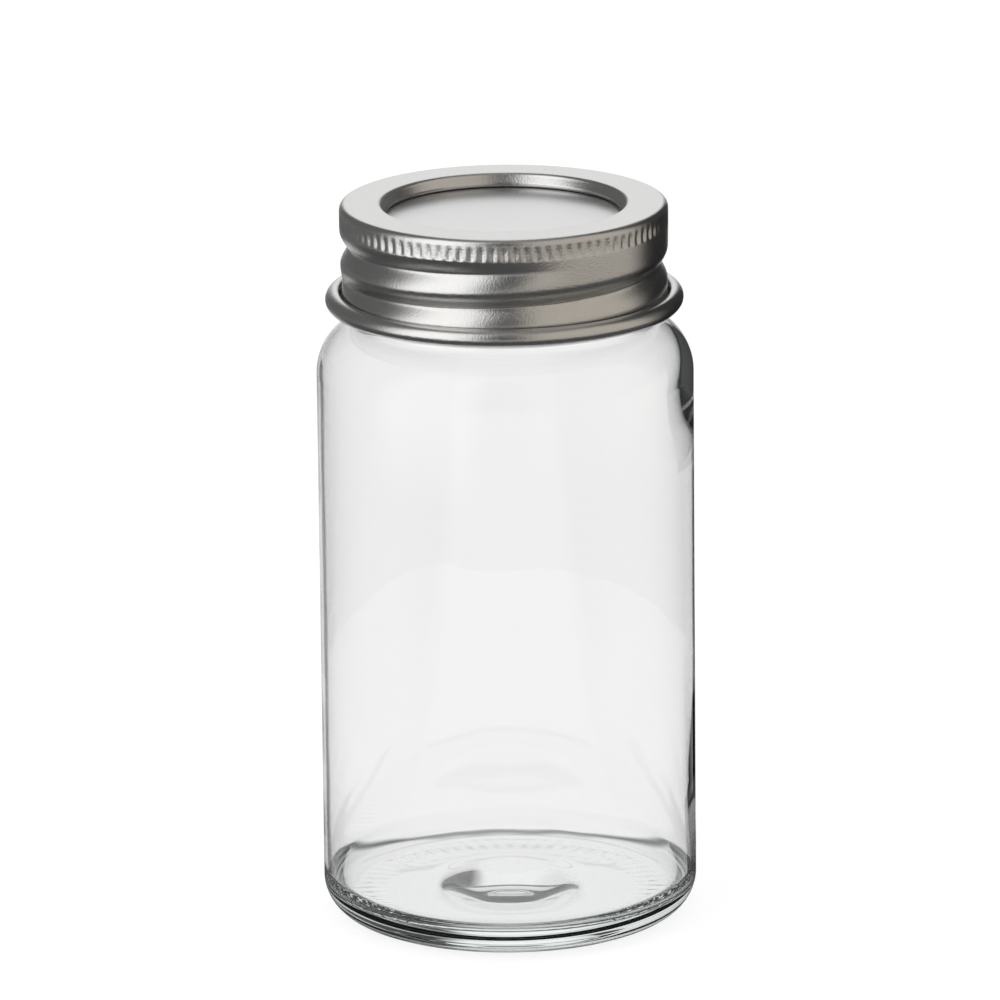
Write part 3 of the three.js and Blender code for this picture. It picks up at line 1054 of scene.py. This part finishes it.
def light_surroundings():
    """White to the camera, a ring of bright and dark studio cards to metal and glass, soft to all else."""
    world = bpy.data.worlds.new("studio")
    bpy.context.scene.world = world
    world.use_nodes = True
    graph = Graph(world.node_tree)
    apart = graph.node("ShaderNodeSeparateXYZ", {"Vector": graph.get("ShaderNodeTexCoord", "Generated")})
    x, y, z = (Wire(graph, apart.outputs[axis]) for axis in "XYZ")
    around = around_from_back(graph, x, y)
    level = graph.smooth((z + LEVEL_BLEND * 0.5) / LEVEL_BLEND)
    rise = graph.smooth((z - CARD_TOP) / CARD_TOP_BLEND)
    mirrored = graph.mix(level, ramp(graph, around, MIRRORED_LOW), ramp(graph, around, MIRRORED_HIGH))
    mirrored = graph.mix(rise, mirrored, (*OVERHEAD, 1.0))
    low = seen_through(graph, around, THROUGH_LOW)
    through = graph.mix(level, low, seen_through(graph, around, THROUGH_HIGH))
    through = graph.mix(rise, through, (*GLASS_OVERHEAD, 1.0))
    through = darken_run_on(graph, through, graph.smooth(z / RUN_ON_LEVEL))
    camera, glossy, out_of_glass = ray_kinds(graph)
    shown = graph.mix(glossy, (SOFT_LIGHT, SOFT_LIGHT, SOFT_LIGHT, 1.0), mirrored)
    shown = graph.mix(out_of_glass, shown, through)
    shown = graph.mix(camera, shown, WHITE)
    background = graph.get("ShaderNodeBackground", "Background", {"Color": shown, "Strength": 1.0})
    graph.node("ShaderNodeOutputWorld", {"Surface": background})


def lay_floor(studio):
    """A white floor that keeps the jar's shadow; metal and glass find the cards' shades in it."""
    mesh = bpy.data.meshes.new("floor")
    disc = bmesh.new()
    bmesh.ops.create_circle(disc, cap_ends=True, segments=FLOOR_SIDES, radius=studio.floor_radius)
    disc.to_mesh(mesh)
    disc.free()
    floor = bpy.data.objects.new("floor", mesh)
    floor.location.z = JAR_LOW.z - FLOOR_GAP
    bpy.context.scene.collection.objects.link(floor)
    material, graph, place = new_material("floor_white")
    apart = graph.node("ShaderNodeSeparateXYZ", {"Vector": place})
    x, y = (Wire(graph, apart.outputs[axis]) for axis in "XY")
    away = graph.math("SQRT", x * x + y * y)
    turn_in = graph.math("ARCSINE", graph.math("MINIMUM", JAR_HIGH.x / away, 1.0)) / TURN
    around = around_from_back(graph, x, y)
    far = graph.smooth((away - FAR_START) / FAR_BLEND)
    mirrored = graph.mix(far, ramp(graph, around, NEAR_FLOOR), ramp(graph, around, MIRRORED_LOW))
    through = seen_through(graph, around_from_back(graph, x, y, turn_in), THROUGH_LOW)
    waves = (noise(graph, place, STRIP_WAVE_LENGTH, 1.0) - 0.5) * STRIP_WAVE
    behind = y + waves - STRIP_PLACE + x * x * STRIP_ARCH
    through = graph.mix(graph.smooth(behind / STRIP_EDGE), (*UNDER_JAR, 1.0), through)
    strip = graph.hump(abs(behind) / STRIP_WIDTH) * STRIP_SHADE
    strip = strip * graph.smooth((STRIP_REACH - abs(x)) / STRIP_FADE)
    under_heel = graph.hump(abs(away - HEEL_PLACE) / HEEL_WIDTH) * HEEL_SHADE
    under_heel = under_heel * graph.smooth((-1.0 * y) / HEEL_FADE)
    shaded = graph.math("MAXIMUM", strip, under_heel)
    beyond = graph.smooth((away - JAR_HIGH.x) / RUN_ON_EDGE)
    through = graph.mix(shaded, through, CONTACT_SHADE)
    through = darken_run_on(graph, through, graph.smooth((RUN_ON_FAR - away) / RUN_ON_NEAR), beyond)
    camera, glossy, out_of_glass = ray_kinds(graph)
    shown = graph.mix(glossy, WHITE, mirrored)
    shown = graph.mix(out_of_glass, shown, through)
    dark = graph.get("ShaderNodeRGBToBW", 0, {"Color": through})
    lit = 1.0 - (1.0 - FLOOR_GLOW) * dark
    glow = graph.math("MAXIMUM", camera * CAMERA_GLOW, graph.math("MAXIMUM", glossy, out_of_glass * lit))
    matte = graph.get("ShaderNodeBsdfDiffuse", "BSDF", {"Color": FLOOR_MATTE})
    strength = 1.0 + camera * CAMERA_LIFT
    light = graph.get("ShaderNodeEmission", "Emission", {"Color": shown, "Strength": strength})
    surface = graph.get("ShaderNodeMixShader", 0, {0: glow, 1: matte, 2: light})
    graph.node("ShaderNodeOutputMaterial", {"Surface": surface})
    mesh.materials.append(material)


FLAG_GAP = 5.0 * MM
FLAG_BACK = 33.0 * MM
FLAG_FOOT_GAP = 0.3 * MM
FLAG_GRAIN = 2.0 * MM
FLAG_DARK = (0.02, 0.02, 0.02, 1.0)
FLAG_LIGHT = (0.04, 0.04, 0.04, 1.0)
# Foot, top and front edge of each panel of the flag
FLAG_PANELS = (
    (0.05 * MM, 14.0 * MM, 1.0 * MM),
    (14.0 * MM, 66.0 * MM, 9.0 * MM),
    (66.0 * MM, 120.0 * MM, -6.0 * MM),
)


def stand_flag():
    """A black flag by the jar's right side, hidden from the camera, that draws the edge of the glass."""
    near = JAR_HIGH.x + FLAG_FOOT_GAP
    side = JAR_HIGH.x + FLAG_GAP
    corners = []
    for foot, top, front in FLAG_PANELS:
        corners += [(side, front, foot), (side, FLAG_BACK, foot)]
        corners += [(side, FLAG_BACK, top), (side, front, top)]
    foot, top, front = FLAG_PANELS[0]
    corners += [(near, front, foot), (near, FLAG_BACK, foot)]
    corners += [(side, FLAG_BACK, foot), (side, front, foot)]
    faces = [tuple(range(i, i + 4)) for i in range(0, len(corners), 4)]
    mesh = bpy.data.meshes.new("flag")
    mesh.from_pydata(corners, [], faces)
    material, graph, place = new_material("flag_black")
    shade = graph.mix(noise(graph, place, FLAG_GRAIN), FLAG_DARK, FLAG_LIGHT)
    black = graph.get("ShaderNodeBsdfDiffuse", "BSDF", {"Color": shade})
    bounces = graph.get("ShaderNodeLightPath", "Ray Depth")
    late = graph.math("GREATER_THAN", bounces, ONCE_TURNED)
    clear = graph.get("ShaderNodeBsdfTransparent")
    surface = graph.get("ShaderNodeMixShader", 0, {0: late, 1: black, 2: clear})
    graph.node("ShaderNodeOutputMaterial", {"Surface": surface})
    mesh.materials.append(material)
    flag = bpy.data.objects.new("flag", mesh)
    bpy.context.scene.collection.objects.link(flag)
    flag.visible_camera = False
    flag.visible_diffuse = False
    flag.visible_shadow = False


LAMP_PLACE = (-0.7, -0.6, 0.9)
LAMP_AIM = (0.0, 0.0, 0.06)
LAMP_SIZE = (0.6, 0.6)
LAMP_POWER = 3.0


def hang_lamp(name):
    data = bpy.data.lights.new(name, "AREA")
    data.shape = "RECTANGLE"
    data.size, data.size_y = LAMP_SIZE
    data.energy = LAMP_POWER
    lamp = bpy.data.objects.new(name, data)
    bpy.context.scene.collection.objects.link(lamp)
    aim = Vector(LAMP_AIM) - Vector(LAMP_PLACE)
    look = aim.to_track_quat("-Z", "Y").to_matrix().to_4x4()
    lamp.matrix_world = Matrix.Translation(LAMP_PLACE) @ look
    lamp.visible_glossy = False
    lamp.visible_transmission = False


MAX_BOUNCES = 32
GLASS_BOUNCES = 24


class JAR_OT_stage(bpy.types.Operator):
    """Set up the camera, the floor and the light"""

    bl_idname = "jar.stage"
    bl_label = "Studio"

    def execute(self, context):
        studio = context.scene.jar_studio
        context.scene.view_settings.view_transform = "Standard"
        context.scene.cycles.max_bounces = MAX_BOUNCES
        context.scene.cycles.glossy_bounces = GLASS_BOUNCES
        context.scene.cycles.transmission_bounces = GLASS_BOUNCES
        place_camera(studio)
        light_surroundings()
        lay_floor(studio)
        stand_flag()
        hang_lamp("lamp_left")
        return {"FINISHED"}


OPERATORS = (JAR_OT_glass, JAR_OT_ring, JAR_OT_disc, JAR_OT_seal, JAR_OT_stage)


class JAR_PT_panel(bpy.types.Panel):
    """Lists the jar's pieces and its studio"""

    bl_label = "Spice Jar"
    bl_idname = "JAR_PT_panel"
    bl_space_type = "VIEW_3D"
    bl_region_type = "UI"
    bl_category = "Spice Jar"

    def draw(self, context):
        for operator in OPERATORS:
            self.layout.operator(operator.bl_idname)
        for group in SETTINGS:
            for name in getattr(context.scene, group).bl_rna.properties.keys():
                if name not in ("rna_type", "name"):
                    self.layout.prop(getattr(context.scene, group), name)


SETTINGS = {
    "jar_glass": JarGlassSizes,
    "jar_lid": JarLidSizes,
    "jar_finishes": JarFinishes,
    "jar_studio": JarStudio,
}


def register():
    for kind in (*SETTINGS.values(), *OPERATORS, JAR_PT_panel):
        bpy.utils.register_class(kind)
    for name, kind in SETTINGS.items():
        setattr(bpy.types.Scene, name, bpy.props.PointerProperty(type=kind))


def unregister():
    for name in SETTINGS:
        delattr(bpy.types.Scene, name)
    for kind in (JAR_PT_panel, *OPERATORS, *SETTINGS.values()):
        bpy.utils.unregister_class(kind)


def main():
    register()
    bpy.ops.jar.stage()
    bpy.ops.jar.glass()
    bpy.ops.jar.ring()
    bpy.ops.jar.disc()
    bpy.ops.jar.seal()


if __name__ == "__main__":
    main()
